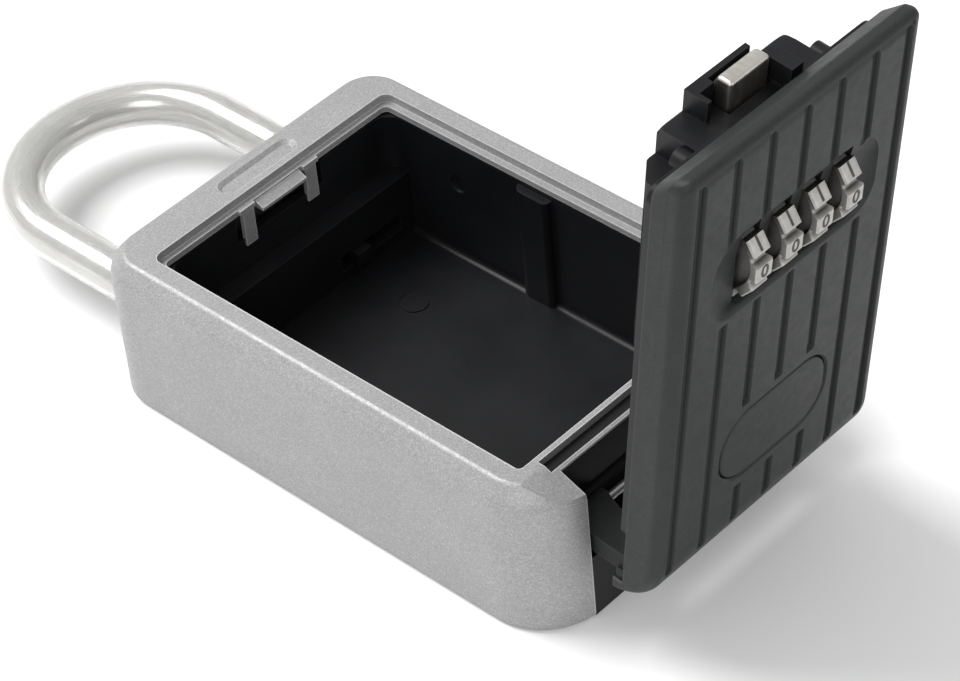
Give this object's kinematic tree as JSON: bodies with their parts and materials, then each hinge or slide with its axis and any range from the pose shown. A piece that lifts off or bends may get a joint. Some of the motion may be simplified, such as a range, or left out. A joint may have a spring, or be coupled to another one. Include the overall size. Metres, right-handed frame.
{
  "type": "combination key lock box",
  "caption": "Portable key safe: cast box with a key tray, a hinged door with number dials and a sprung bolt, and a sleeved steel shackle.",
  "frame": {"origin": "middle of the flat back face, on which the box lies", "axes": "+Z out of the back towards the door side, +Y towards the shackle, +X to the right when the shackle points away from the viewer"},
  "size_m": [0.08, 0.213, 0.1212],
  "materials": {
    "silver_paint": "satin flake",
    "charcoal_casting": "satin",
    "black_plastic": "moulded",
    "grey_plastic": "moulded",
    "dial_grey": "semi-gloss",
    "bright_steel": "polished",
    "spring_steel": "bright wire",
    "screw_steel": "zinc plated",
    "bolt_nickel": "nickel plated",
    "sleeve_brass": "turned",
    "clear_vinyl": "clear"
  },
  "bodies": {
    "root": {"case_shell": "silver_paint", "inner_tray": "black_plastic", "shackle_lock_housing": "black_plastic", "hinge_pin": "bright_steel", "slider_spring": "spring_steel"},
    "shackle": {"shackle_bar": "bright_steel", "shackle_sleeve": "clear_vinyl"},
    "shackle_slider": {"shackle_lock_slider": "black_plastic"},
    "door": {"door_shell": "charcoal_casting", "lock_housing": "black_plastic", "back_screw_1": "screw_steel", "back_screw_2": "screw_steel", "back_screw_3": "screw_steel", "back_screw_4": "screw_steel", "dial_axle": "bright_steel", "detent_spring": "spring_steel", "latch_spring_left": "spring_steel", "latch_spring_right": "spring_steel", "button_spring": "spring_steel"},
    "dial_1": {"dial_wheel_1": "dial_grey", "code_sleeve_1": "sleeve_brass"},
    "dial_2": {"dial_wheel_2": "dial_grey", "code_sleeve_2": "sleeve_brass"},
    "dial_3": {"dial_wheel_3": "dial_grey", "code_sleeve_3": "sleeve_brass"},
    "dial_4": {"dial_wheel_4": "dial_grey", "code_sleeve_4": "sleeve_brass"},
    "latch": {"latch_bolt": "bolt_nickel", "release_slide": "grey_plastic"},
    "button": {"release_button": "charcoal_casting"},
    "reset": {"reset_lever": "grey_plastic"}
  },
  "joints": [
    {"name": "door_hinge", "type": "hinge", "parent": "root", "child": "door", "pos_m": [0, -0.0556, 0.0207], "axis": [1, 0, 0], "range_deg": [-97.5, 0]},
    {"name": "shackle_slide", "type": "slide", "parent": "root", "child": "shackle", "axis": [0, 1, 0], "range_m": [0, 0.013]},
    {"name": "shackle_lock", "type": "slide", "parent": "root", "child": "shackle_slider", "axis": [1, 0, 0], "range_m": [-0.0022, 0]},
    {"name": "dial_1_turn", "type": "hinge", "parent": "door", "child": "dial_1", "pos_m": [-0.0115, -0.08122, 0.09116], "axis": [1, 0, 0], "continuous": true},
    {"name": "dial_2_turn", "type": "hinge", "parent": "door", "child": "dial_2", "pos_m": [-0.0033, -0.08122, 0.09116], "axis": [1, 0, 0], "continuous": true},
    {"name": "dial_3_turn", "type": "hinge", "parent": "door", "child": "dial_3", "pos_m": [0.0049, -0.08122, 0.09116], "axis": [1, 0, 0], "continuous": true},
    {"name": "dial_4_turn", "type": "hinge", "parent": "door", "child": "dial_4", "pos_m": [0.0131, -0.08122, 0.09116], "axis": [1, 0, 0], "continuous": true},
    {"name": "release_press", "type": "slide", "parent": "door", "child": "button", "axis": [0, 0.9914, 0.1305], "range_m": [0, 0.0015], "stiffness_N_per_m": 400, "springref_m": -0.002},
    {"name": "latch_slide", "type": "slide", "parent": "door", "child": "latch", "axis": [0, 0.1305, -0.9914], "range_m": [0, 0.003], "stiffness_N_per_m": 300, "springref_m": -0.002},
    {"name": "reset_turn", "type": "hinge", "parent": "door", "child": "reset", "pos_m": [-0.012, -0.06638, 0.07576], "axis": [0, -0.9914, -0.1305], "range_deg": [0, 90]}
  ],
  "couplings": [
    {"joint": "latch_slide", "follows": "release_press", "ratio": 2}
  ]
}
